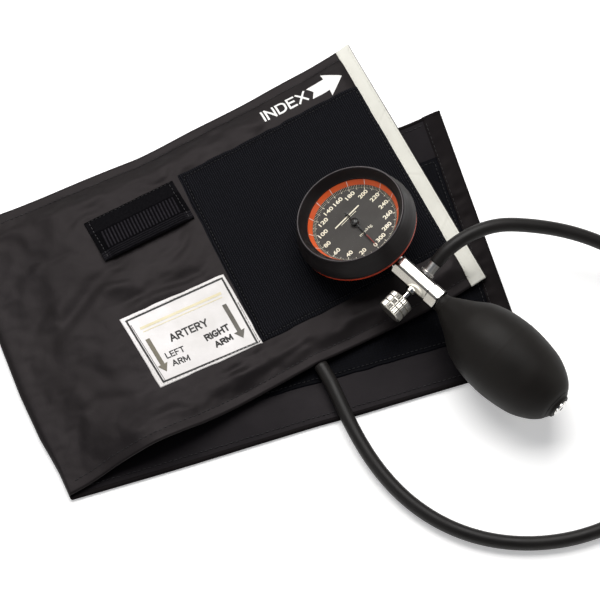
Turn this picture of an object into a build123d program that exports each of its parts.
from build123d import *
import os
from math import sin, cos, tan, radians, pi

# Aneroid blood pressure cuff, folded once, with its palm gauge, squeeze bulb
# and hose.  Millimetres, +Z up.  Origin: centre of the underside of the tail
# panel, the face the folded cuff rests on.  +X runs along the tail panel
# towards its open end, +Y across it.  The bladder panel lies above the tail.

# ------------------------------------------------------------ driving sizes
CUFF_WIDTH = 160.0        # both panels, hem to hem
TAIL_END_X = 133.0        # open end of the tail panel
FOLD_X = -127.5           # fold line crosses y = 0 here
PANEL_SKEW = 12.0         # the bladder panel lies turned this much on the tail
NYLON = 0.8               # each coated nylon cover
LAYER_GAP = 0.05          # between stacked sheets
FOLD_GAP = 0.06           # between the panels and the fold
FASTENER_T = 1.2          # hook and pile patches

# Bladder panel: A runs along it, B across it.
PANEL_END_A = 118.7       # open end
PANEL_B0 = -53.5          # lower hem
PANEL_B1 = PANEL_B0 + CUFF_WIDTH
INNER_Z0 = 4.3            # underside of the panel
TRAY_Z0 = 5.12            # underside of the outer cover's hems
OUTER_Z1 = 8.9            # top face of the panel
ON_PANEL = OUTER_Z1 + LAYER_GAP
FOLD_Z = OUTER_Z1 / 2     # height of the fold axis
HOSE_A, HOSE_Z = 13.8, 6.7   # where the hose enters the lower hem

HUB = Vector(64.6, 12.8, 26.0)  # gauge axis meets stem axis
STEM_HEADING = -62.0      # heading of the stem towards the bulb
ROLL = 8.5                # handset rolled about the stem
FACE_TILT = 16.5          # gauge face tipped back from the stem
NIPPLE_ELEV = 16.5        # hose nipple above the manifold's side direction
STATION = 45.3            # valve and nipple station along the stem
BULB_START = 61.1         # bulb neck starts here along the stem
DIAL_R = 25.3
CASE_R = 25.0
HEX_AF = 11.0             # manifold, across flats
COLLAR_AF = 11.9          # bulb collar, across flats
HEX_TURN = 24.0           # hexagons turned about the stem: one flat faces nearly up
KNOB_R = 7.15
HOSE_R = 3.75
HOSE_BORE = 2.2           # radius

# ------------------------------------------------------------ frames
X, Y, Z = Vector(1, 0, 0), Vector(0, 1, 0), Vector(0, 0, 1)


def tilted(start, towards, angle):
    """Direction start turned by angle degrees towards a perpendicular one."""
    return start * cos(radians(angle)) + towards * sin(radians(angle))


STEM_DIR = tilted(X, Y, STEM_HEADING)
LEVEL_SIDE = tilted(Y, -X, STEM_HEADING)
SIDE_DIR = tilted(LEVEL_SIDE, Z, ROLL)
UP_DIR = tilted(Z, -LEVEL_SIDE, ROLL)
NIPPLE_DIR = tilted(SIDE_DIR, UP_DIR, NIPPLE_ELEV)
STATION_POINT = HUB + STEM_DIR * STATION

# Each handset frame has its Z along the axis of the pieces built in it.
GAUGE = Plane(origin=HUB, x_dir=tilted(STEM_DIR, UP_DIR, FACE_TILT),
              z_dir=tilted(UP_DIR, -STEM_DIR, FACE_TILT)).location
STEM = Plane(origin=HUB, x_dir=UP_DIR, z_dir=STEM_DIR).location
BULB = STEM * Location((0, 0, BULB_START))
VALVE = Plane(origin=STATION_POINT, x_dir=STEM_DIR, z_dir=-SIDE_DIR).location
NIPPLE = Plane(origin=STATION_POINT, x_dir=STEM_DIR, z_dir=NIPPLE_DIR).location

PANEL = Location((0, 0, 0), (0, 0, PANEL_SKEW))
PANEL_ALONG = tilted(X, Y, PANEL_SKEW)
PANEL_ACROSS = tilted(Y, -X, PANEL_SKEW)


# ------------------------------------------------------------ basic shapes
def turned(points):
    """Turned solid about local Z from (radius, height) points."""
    face = make_face(Polyline(*[(r, 0, h) for r, h in points], close=True))
    return revolve(face, Axis.Z, 360)


def ring(outer_r, inner_r, z0, z1):
    """Profile of a plain ring, for turned()."""
    return [(inner_r, z0), (outer_r, z0), (outer_r, z1), (inner_r, z1)]


def rod(radius, z0, z1, x=0.0, y=0.0):
    return Location((x, y, z0)) * Cylinder(
        radius, z1 - z0, align=(Align.CENTER, Align.CENTER, Align.MIN))


def slab(points, z0, z1):
    face = make_face(Polyline(*[(x, y, 0) for x, y in points], close=True))
    return Location((0, 0, z0)) * extrude(face, z1 - z0)


def pad(x0, x1, y0, y1, z0, z1, corner_r=2.0):
    outline = RectangleRounded(x1 - x0, y1 - y0, corner_r)
    return Location(((x0 + x1) / 2, (y0 + y1) / 2, z0)) * extrude(outline, z1 - z0)


def box(x0, x1, y0, y1, z0, z1):
    return Location((x0, y0, z0)) * Box(
        x1 - x0, y1 - y0, z1 - z0, align=(Align.MIN, Align.MIN, Align.MIN))


def polar(radius, angle):
    return (radius * cos(angle), radius * sin(angle))


os.makedirs("parts", exist_ok=True)


def save(name, shape):
    export_step(shape, "parts/" + name + ".step")


# ------------------------------------------------------------ tail panel
half_width = CUFF_WIDTH / 2


def fold_x(y):
    return FOLD_X - tan(radians(PANEL_SKEW / 2)) * y


tail_outline = [(TAIL_END_X, -half_width), (TAIL_END_X, half_width),
                (fold_x(half_width) + FOLD_GAP, half_width),
                (fold_x(-half_width) + FOLD_GAP, -half_width)]
tail_inner_z = NYLON + LAYER_GAP
hook_z = 2 * tail_inner_z
save("outer_cover_tail", slab(tail_outline, 0, NYLON))
save("inner_cover_tail", slab(tail_outline, tail_inner_z, tail_inner_z + NYLON))
save("hook_patch", pad(-15, 120, -57, 53, hook_z, hook_z + FASTENER_T))

# ------------------------------------------------------------ bladder panel
# A of the panel's two corners at the fold.
lower_a, upper_a = [Vector(fold_x(y) + FOLD_GAP, y, 0).dot(PANEL_ALONG)
                    for y in (-half_width, half_width)]


def panel_outline(hem=0.0, fold_reach=0.0):
    """Panel outline, drawn in by hem and carried past the fold end."""
    end_a, b0, b1 = PANEL_END_A - hem, PANEL_B0 + hem, PANEL_B1 - hem
    return [(end_a, b0), (end_a, b1), (upper_a - fold_reach, b1), (lower_a - fold_reach, b0)]


def hose_rod(radius, start_b, length):
    """Cylinder on the hose entry axis, from start_b out towards the lower hem."""
    return Location((HOSE_A, start_b, HOSE_Z)) * (Rotation(90, 0, 0) * Cylinder(
        radius, length, align=(Align.CENTER, Align.CENTER, Align.MIN)))


def outer_cover():
    """Shallow tray: its hems turn down onto the inner cover."""
    tray = slab(panel_outline(), TRAY_Z0, OUTER_Z1)
    tray -= slab(panel_outline(hem=2, fold_reach=5), 5.0, OUTER_Z1 - NYLON)
    tray -= hose_rod(1.4, PANEL_B0 + 4, 5)
    return tray


PORT_HALF_W = 6.0
PORT_B1 = -41.0           # inboard end of the port block
PORT_CLEARANCE = 0.1


def bladder():
    notch_half = PORT_HALF_W + PORT_CLEARANCE
    sheet = pad(-106, 104, -46, 99, 5.2, 8.0, corner_r=12.0)
    return sheet - box(HOSE_A - notch_half, HOSE_A + notch_half,
                       -50, PORT_B1 + PORT_CLEARANCE, 5.0, 8.2)


def bladder_port():
    """Block in the bladder notch with a bored, stepped spigot for the hose."""
    port = box(HOSE_A - PORT_HALF_W, HOSE_A + PORT_HALF_W, -47.0, PORT_B1, 5.25, 7.95)
    port += hose_rod(1.33, -46.8, 6.9)
    port += hose_rod(2.12, PANEL_B0 - 0.1, 7.0)
    port -= hose_rod(0.8, -42.0, 20)
    return port


def gauge_strap():
    """Elastic strap for the gauge: flat at both ends, a loop in between."""
    a0, a1 = -59.0, -5.0
    width, upper_b = 26.0, 79.6
    section_points = [   # (A, z), underside then top face
        (a0, ON_PANEL), (a0 + 7, ON_PANEL), (a0 + 10, 9.9),
        (a1 - 10, 9.9), (a1 - 7, ON_PANEL), (a1, ON_PANEL),
        (a1, 10.2), (a1 - 6.6, 10.2), (a1 - 9.6, 11.1),
        (a0 + 9.6, 11.1), (a0 + 6.6, 10.2), (a0, 10.2)]
    face = make_face(Polyline(*[(a, 0, z) for a, z in section_points], close=True))
    strap = extrude(face, width)
    return Location((0, upper_b - strap.bounding_box().max.Y, 0)) * strap


save("inner_cover_front", PANEL * slab(panel_outline(), INNER_Z0, INNER_Z0 + NYLON))
save("outer_cover_front", PANEL * outer_cover())
save("bladder", PANEL * bladder())
save("bladder_port", PANEL * bladder_port())
save("pile_patch", PANEL * pad(-5, 109.9, -29.8, 79.7, ON_PANEL, ON_PANEL + FASTENER_T))
save("index_stripe", PANEL * box(110.6, 118.5, PANEL_B0 + 0.3, PANEL_B1 - 0.3,
                                 ON_PANEL, ON_PANEL + 0.25))
save("artery_label", PANEL * Location((-37.4, -5.4, ON_PANEL), (0, 0, -3))
     * extrude(RectangleRounded(59.7, 45.2, 0.6), 0.3))
save("gauge_strap", PANEL * gauge_strap())

# ------------------------------------------------------------ fold
# Each cover turns round the fold axis in a half ring; local X points away
# from the panels.
fold_len = CUFF_WIDTH / cos(radians(PANEL_SKEW / 2))
FOLD = Plane(origin=(fold_x(-half_width), -half_width, FOLD_Z),
             x_dir=-tilted(X, Y, PANEL_SKEW / 2),
             z_dir=tilted(Y, -X, PANEL_SKEW / 2)).location


def half_ring(outer_r):
    full = rod(outer_r, 0, fold_len) - rod(outer_r - NYLON, -1, fold_len + 1)
    return full & box(0.02, 20, -20, 20, -1, fold_len + 1)


save("fold_outer_cover", FOLD * half_ring(FOLD_Z))
save("fold_inner_cover", FOLD * half_ring(FOLD_Z - NYLON - LAYER_GAP))

# ------------------------------------------------------------ turned pieces
# Name: (frame, [(radius, height along the frame's Z), ...])
TURNED = {
    # gauge shell and dial
    "gauge_bumper": (GAUGE, [
        (27.15, 2.5), (32.9, 2.5), (33.2, 3.2), (33.0, 4.6), (32.2, 7.2),
        (31.0, 10.4), (30.1, 13.2), (29.7, 14.9), (29.3, 15.3), (28.7, 15.3),
        (28.3, 14.9), (27.3, 13.0), (26.1, 10.9), (25.4, 10.0), (27.15, 10.0)]),
    "accent_ring": (GAUGE, [
        (25.1, 0.7), (32.5, 0.7), (32.8, 1.0), (32.8, 2.1), (32.5, 2.4), (25.1, 2.4)]),
    "bezel_ring": (GAUGE, [
        (25.5, 2.5), (27.1, 2.5), (27.1, 9.9), (26.0, 9.9), (26.0, 8.95), (25.5, 8.95)]),
    "lens": (GAUGE, [
        (0, 9.0), (25.95, 9.0), (25.95, 9.6), (25.2, 9.6), (24.8, 9.8), (0, 9.8)]),
    "lens_gasket": (GAUGE, ring(25.95, 25.3, 9.63, 9.95)),
    "dial_plate": (GAUGE, ring(DIAL_R, 1.4, 4.45, 5.05)),
    "scale_ring": (GAUGE, [
        (25.42, 5.1), (25.42, 8.8), (25.2, 8.9), (22.7, 5.35), (22.7, 5.1)]),
    "diaphragm_capsule": (GAUGE, [
        (0, -6.85), (4.0, -6.85), (4.0, -6.6), (13.2, -6.6), (13.5, -6.3), (13.5, -6.1),
        (13.2, -5.9), (11.0, -5.6), (9.5, -5.9), (8.0, -5.5), (6.5, -5.8), (5.0, -5.3),
        (2.2, -5.2), (2.0, -3.9), (0, -3.9)]),
    # on the stem axis
    "gauge_stem": (STEM, [
        (1.2, 18.2), (2.95, 18.2), (2.95, 26.65), (3.9, 26.7), (3.9, 27.2), (3.5, 27.4),
        (3.5, 27.7), (3.9, 27.9), (3.9, 28.7), (4.6, 29.2), (4.6, 29.95), (2.85, 29.98),
        (2.85, 35.6), (1.2, 35.6)]),
    "bulb_spigot": (STEM, [
        (1.6, 49.2), (2.5, 49.2), (2.5, 60.5), (3.35, 60.55), (3.35, 63.5), (3.15, 63.8),
        (3.35, 66.5), (3.15, 66.8), (3.35, 70.0), (2.8, 71.5), (0.9, 71.5), (0.9, 59.3),
        (1.6, 58.9)]),
    "intake_fitting": (BULB, [
        (1.3, 85.4), (4.3, 85.4), (4.7, 85.0), (4.7, 84.0), (4.15, 83.95), (4.15, 78.9),
        (2.3, 78.9), (2.3, 79.3), (3.2, 79.3), (3.2, 81.8), (1.3, 81.8)]),
    # release valve
    "valve_gland": (VALVE, [
        (1.05, 2.95), (2.6, 2.95), (2.6, 5.55), (3.1, 5.6), (3.1, 7.2), (2.7, 7.6),
        (1.05, 7.6)]),
    "gland_seal": (VALVE, ring(1.9, 1.04, 7.62, 7.95)),
    "release_needle": (VALVE, [
        (0, 1.0), (0.25, 1.0), (1.0, 2.6), (1.0, 8.0), (1.75, 8.15), (1.75, 12.4),
        (1.2, 12.45), (1.2, 20.0), (0, 20.0)]),
    # barbed outlet for the hose
    "hose_nipple": (NIPPLE, [
        (1.1, 3.1), (2.4, 3.1), (2.4, 6.12), (3.9, 6.15), (4.1, 6.35), (4.1, 7.4),
        (3.1, 7.6), (3.1, 13.3), (2.15, 13.35), (2.15, 15.5), (2.0, 15.7), (2.15, 17.6),
        (2.0, 17.8), (2.15, 19.8), (1.7, 21.0), (1.1, 21.0)]),
}
for name, (frame, profile) in TURNED.items():
    save(name, frame * turned(profile))


# ------------------------------------------------------------ gauge case
def gauge_case():
    """Flanged cup with a bored boss for the stem and four posts inside."""
    case = GAUGE * turned([
        (0, -8.2), (24.2, -8.2), (CASE_R, -7.4), (CASE_R, -0.9), (31.4, -0.9),
        (31.4, 0.6), (CASE_R, 0.6), (CASE_R, 4.4), (23.7, 4.4), (23.7, -6.9), (0, -6.9)])
    case = case + STEM * rod(5.4, 17.8, 26.6)
    case -= STEM * rod(3.0, 17.0, 28)
    for x, y in [(8.5, -16.5), (-8.5, -16.5), (6.5, 15.5), (-6.5, 15.5)]:
        case += GAUGE * rod(1.3, -7.2, -1.24, x, y)
    return case


save("gauge_case", gauge_case())

# ------------------------------------------------------------ gauge movement
PINION_T = 10
SECTOR_T = 86             # teeth if the sector were a full wheel
MODULE = 0.3
SECTOR_HALF_T = 8         # teeth each side of the sector's middle tooth
FACING = 4.5              # tooth gap of the sector that faces the pinion at rest
SHAFT_R = 0.6
SHAFT_BORE = 0.62         # hole radius in the parts the shafts carry
PLATE_HOLE_R = 0.65
SHAFT_Z0 = -1.15
centre_dist = MODULE * (PINION_T + SECTOR_T) / 2
SHAFTS = [(0, 0), (0, -centre_dist)]
PILLARS = [(8.5, 10.5), (-8.5, 10.5), (0.0, -18.6)]
tooth_step = 2 * pi / SECTOR_T


def capsule_pin():
    pin = rod(1.5, -3.87, -2.6) + rod(0.7, -2.6, -2.0)
    pin -= rod(1.0, -3.9, -3.3)
    pin += rod(0.6, -3.86, -3.2)
    return pin


def movement_plate(z0, z1, holes):
    plate = box(-11, 11, -20, 18, z0, z1)
    plate = plate & rod(21.5, z0 - 1, z1 + 1)
    for x, y in holes:
        plate -= rod(PLATE_HOLE_R, z0 - 1, z1 + 1, x, y)
    return plate


def pillar(x, y):
    return rod(1.0, -0.48, 2.68, x, y) - rod(0.62, 0.6, 3.0, x, y)


def plate_screw(x, y):
    return (rod(0.6, 0.8, 3.5, x, y) + rod(1.5, 3.42, 4.1, x, y)
            - box(x - 0.2, x + 0.2, y - 2, y + 2, 3.8, 4.3))


def at_pillars(make):
    return Compound(children=[GAUGE * make(x, y) for x, y in PILLARS])


def gear_outline(indices, total, addendum, dedendum, pitch_w, tip_w, root_w, start=0.0):
    """Straight-flanked teeth; widths are measured along the arc at each radius."""
    pitch_r = MODULE * total / 2
    flank = [(pitch_r - dedendum, root_w), (pitch_r, pitch_w), (pitch_r + addendum, tip_w)]
    points = []
    for i in indices:
        middle = start + i * 2 * pi / total
        points += [polar(r, middle - w / 2 / r) for r, w in flank]
        points += [polar(r, middle + w / 2 / r) for r, w in flank[::-1]]
    return points


def pinion_shaft():
    teeth = gear_outline(range(PINION_T), PINION_T, addendum=0.24, dedendum=0.34,
                         pitch_w=0.34, tip_w=0.13, root_w=0.40, start=pi / 2)
    return rod(SHAFT_R, SHAFT_Z0, 7.2) + slab(teeth, 0.1, 1.5)


def sector_gear():
    """Toothed rim on a fan-shaped web with a window, pivot at the origin."""
    z0, z1 = 0.35, 1.15
    dedendum = 0.36
    pitch_r = MODULE * SECTOR_T / 2
    root_r, rim_r = pitch_r - dedendum, pitch_r - 1.7
    half_angle = (SECTOR_HALF_T + 0.5) * tooth_step
    teeth = gear_outline(range(-SECTOR_HALF_T, SECTOR_HALF_T + 1), SECTOR_T,
                         addendum=0.24, dedendum=dedendum,
                         pitch_w=0.33, tip_w=0.16, root_w=0.46)
    rim_back = [polar(rim_r, half_angle * (1 - k / 6)) for k in range(13)]
    rim = slab(teeth + [polar(root_r, half_angle)] + rim_back
               + [polar(root_r, -half_angle)], z0, z1)
    # The web runs slightly into the rim so that the two join.
    end_x, end_y = polar(rim_r, half_angle)
    end_x, end_y = end_x + 0.4, end_y - 0.3
    mid_x, mid_y = polar(rim_r, half_angle / 2)
    mid_x += 0.5
    web = slab([(end_x, -end_y), (mid_x, -mid_y), (rim_r + 0.5, 0), (mid_x, mid_y),
                (end_x, end_y), (0, 2.2), (-1.9, 1.2), (-1.9, -1.2), (0, -2.2)], z0, z1)
    web -= slab([(9.4, -3.4), (9.8, 0), (9.4, 3.4), (4.2, 0.9), (4.2, -0.9)], 0.0, 2.0)
    return rim + web - rod(SHAFT_BORE, 0, 2)


def hairspring():
    """Flat spiral round the pinion shaft, its outer end on a stud."""
    turns, steps = 3.5, 84
    start_r, end_r, half_t = 1.1, 5.2, 0.09
    z0, z1 = 1.85, 2.2
    outer_edge, inner_edge = [], []
    for k in range(steps + 1):
        angle = 2 * pi * turns * k / steps
        r = start_r + (end_r - start_r) * k / steps
        outer_edge.append(polar(r + half_t, angle))
        inner_edge.append(polar(r - half_t, angle))
    spring = slab(outer_edge + inner_edge[::-1], z0, z1)
    return spring + rod(0.45, z0, 2.66, *polar(end_r, 2 * pi * turns))


def pointer():
    """Tapered blade along +X, with a hub and a round counterweight."""
    z0, z1 = 6.3, 6.7
    blade = slab([(0, -0.9), (14.0, -0.55), (20.4, -0.16),
                  (20.4, 0.16), (14.0, 0.55), (0, 0.9)], z0, z1)
    blade += slab([(-7.6, -0.7), (0, -0.9), (0, 0.9), (-7.6, 0.7)], z0, z1)
    blade += rod(1.7, z0, z1, -8.6, 0)
    blade += rod(2.3, 6.1, 7.4)
    blade -= rod(SHAFT_BORE, 5, 8)
    return blade


SECTOR = GAUGE * Location((0, -centre_dist, 0), (0, 0, 90.0 - FACING * 360.0 / SECTOR_T))
save("capsule_pin", GAUGE * capsule_pin())
save("movement_plate_lower", GAUGE * movement_plate(-1.2, -0.5, SHAFTS))
save("movement_plate_upper", GAUGE * movement_plate(2.7, 3.4, SHAFTS + PILLARS))
save("movement_pillars", at_pillars(pillar))
save("plate_screws", at_pillars(plate_screw))
save("pinion_shaft", GAUGE * pinion_shaft())
save("sector_gear", SECTOR * sector_gear())
save("sector_shaft", SECTOR * (rod(SHAFT_R, SHAFT_Z0, 3.35) + rod(0.95, -0.45, 0.3)))
save("hairspring", GAUGE * hairspring())
save("pointer", GAUGE * Location((0, 0, 0), (0, 0, -7.5)) * pointer())


# ------------------------------------------------------------ manifold and valve
def hex_bar(across_flats, z0, z1, chamfer0, chamfer1):
    """Hexagonal bar with its corners turned down at both ends."""
    r = across_flats / 2 / cos(pi / 6)
    bar = Location((0, 0, z0), (0, 0, HEX_TURN)) * extrude(RegularPolygon(r, 6), z1 - z0)
    return bar & turned([(0, z0), (r - chamfer0, z0), (r, z0 + chamfer0 * 0.6),
                         (r, z1 - chamfer1 * 0.6), (r - chamfer1, z1), (0, z1)])


MANIFOLD_BORES = [   # frame, radius, z0, z1
    (STEM, 2.9, 29, 36.0), (STEM, 1.6, 35, 49), (STEM, 2.55, 48.4, 54),
    (VALVE, 2.65, 2.9, 8), (VALVE, 3.2, 5.55, 8), (VALVE, 1.05, 0.8, 4),
    (NIPPLE, 2.45, 3.0, 8), (NIPPLE, 1.2, 0.0, 4)]


def manifold_body():
    body = STEM * hex_bar(HEX_AF, 30.0, 53.5, 1.2, 0.5)
    for frame, radius, z0, z1 in MANIFOLD_BORES:
        body -= frame * rod(radius, z0, z1)
    return body


def release_knob():
    """Knurled knob with two grooves and a blind bore for the needle."""
    ridges, depth = 36, 0.32
    z0, z1 = 12.5, 23.0
    knurl = [polar(KNOB_R - depth * (k % 2), pi * k / ridges) for k in range(2 * ridges)]
    knob = slab(knurl, z0, z1)
    knob = knob & turned([
        (0, z0), (5.9, z0), (6.7, 12.9), (7.2, 13.6), (7.2, 15.4), (6.4, 15.7),
        (6.4, 16.0), (7.2, 16.3), (7.2, 18.7), (6.4, 19.0), (6.4, 19.3), (7.2, 19.6),
        (7.2, 22.2), (6.4, z1), (0, z1)])
    return knob - rod(1.25, 12.0, 20.2)


save("manifold_body", manifold_body())
save("release_knob", VALVE * release_knob())

# ------------------------------------------------------------ bulb
# (radius, distance from the start of the neck)
BULB_OUTER = [
    (5.3, 0), (5.5, 2.2), (7.8, 6.2), (11.8, 13.2), (17.0, 21.1), (19.4, 27.2),
    (21.0, 33.4), (22.0, 41.7), (22.1, 50.5), (20.9, 60.6), (19.1, 68.1),
    (15.4, 75.5), (11.4, 80.2), (7.2, 82.6)]
BULB_INNER = [
    (4.2, 79.6), (9.4, 77.6), (13.4, 73.9), (17.1, 67.0), (18.8, 60.0), (19.9, 50.5),
    (19.8, 41.9), (18.8, 34.0), (17.2, 28.0), (14.8, 22.0), (9.9, 14.8), (3.4, 10.2)]


def rubber_bulb():
    with BuildSketch(Plane.XZ) as profile:
        with BuildLine():
            Spline(*BULB_OUTER)
            Polyline(BULB_OUTER[-1], (6.9, 83.9), (4.2, 83.9), BULB_INNER[0])
            Spline(*BULB_INNER)
            Polyline(BULB_INNER[-1], (3.4, 0), BULB_OUTER[0])
        make_face()
    return revolve(profile.sketch, Axis.Z, 360)


save("bulb_collar", STEM * (hex_bar(COLLAR_AF, 53.7, 60.4, 0.7, 0.9) - rod(2.6, 53, 61)))
save("outlet_check", STEM * (Location((0, 0, 57.5)) * Sphere(1.3)))
save("rubber_bulb", BULB * rubber_bulb())
save("intake_disc", BULB * rod(2.9, 81.15, 81.75))

# ------------------------------------------------------------ hose
# Points the hose passes through between its straight ends: x, y, z.
HOSE_WAY = [
    (123.4, -14.0, 38.5), (145.8, -14.6, 36.0), (166.8, -20.7, 30.5),
    (186.5, -30.9, 24.0), (204.5, -46.5, 17.0), (219.3, -70.9, 9.5),
    (221.5, -96.8, 4.8), (210.3, -125.8, 3.8), (195.1, -150.4, 3.8),
    (167.9, -170.7, 3.8), (134.5, -179.1, 3.8), (97.9, -175.2, 3.8),
    (69.9, -162.2, 3.8), (42.4, -130.7, 4.0), (31.0, -97.4, 6.0)]


def smooth(points, start_dir, end_dir, step):
    """Cubic Hermite curve through points, sampled about every step mm."""
    chords = [b - a for a, b in zip(points, points[1:])]
    inner = [(c0 * (c1.length / c0.length) + c1 * (c0.length / c1.length)).normalized()
             for c0, c1 in zip(chords, chords[1:])]
    tangents = [start_dir] + inner + [end_dir]
    samples = []
    for i, chord in enumerate(chords):
        length = chord.length
        count = max(2, round(length / step))
        for j in range(count):
            u = j / count
            samples.append(
                points[i] * (2 * u ** 3 - 3 * u ** 2 + 1)
                + tangents[i] * (length * (u ** 3 - 2 * u ** 2 + u))
                + points[i + 1] * (3 * u ** 2 - 2 * u ** 3)
                + tangents[i + 1] * (length * (u ** 3 - u ** 2)))
    return samples + [points[-1]]


def pipe(curve, radius, start_dir, end_dir):
    """Solid round bar lofted through circles square to the curve."""
    inner = [(after - before).normalized() for before, after in zip(curve, curve[2:])]
    circles = [Plane(origin=point, x_dir=tangent.cross(Z).normalized(), z_dir=tangent)
               * Circle(radius)
               for point, tangent in zip(curve, [start_dir] + inner + [end_dir])]
    return loft(circles, ruled=True)


def air_hose():
    """Hose from the nipple to the lower hem, straight at both ends."""
    start = STATION_POINT + NIPPLE_DIR * 13.45
    bend_start = STATION_POINT + NIPPLE_DIR * 22.5
    hem_point = PANEL_ALONG * HOSE_A + PANEL_ACROSS * PANEL_B0 + Z * HOSE_Z
    bend_end = hem_point - PANEL_ACROSS * 8.2
    end = hem_point - PANEL_ACROSS * 0.15
    dirs = (NIPPLE_DIR, PANEL_ACROSS)
    way = [bend_start] + [Vector(*point) for point in HOSE_WAY] + [bend_end]
    curve = smooth(way, *dirs, step=7.0)
    # The bore runs 1 mm past both ends for a clean cut.
    bore = [start - NIPPLE_DIR] + curve + [end + PANEL_ACROSS]
    return pipe([start] + curve + [end], HOSE_R, *dirs) - pipe(bore, HOSE_BORE, *dirs)


save("air_hose", air_hose())
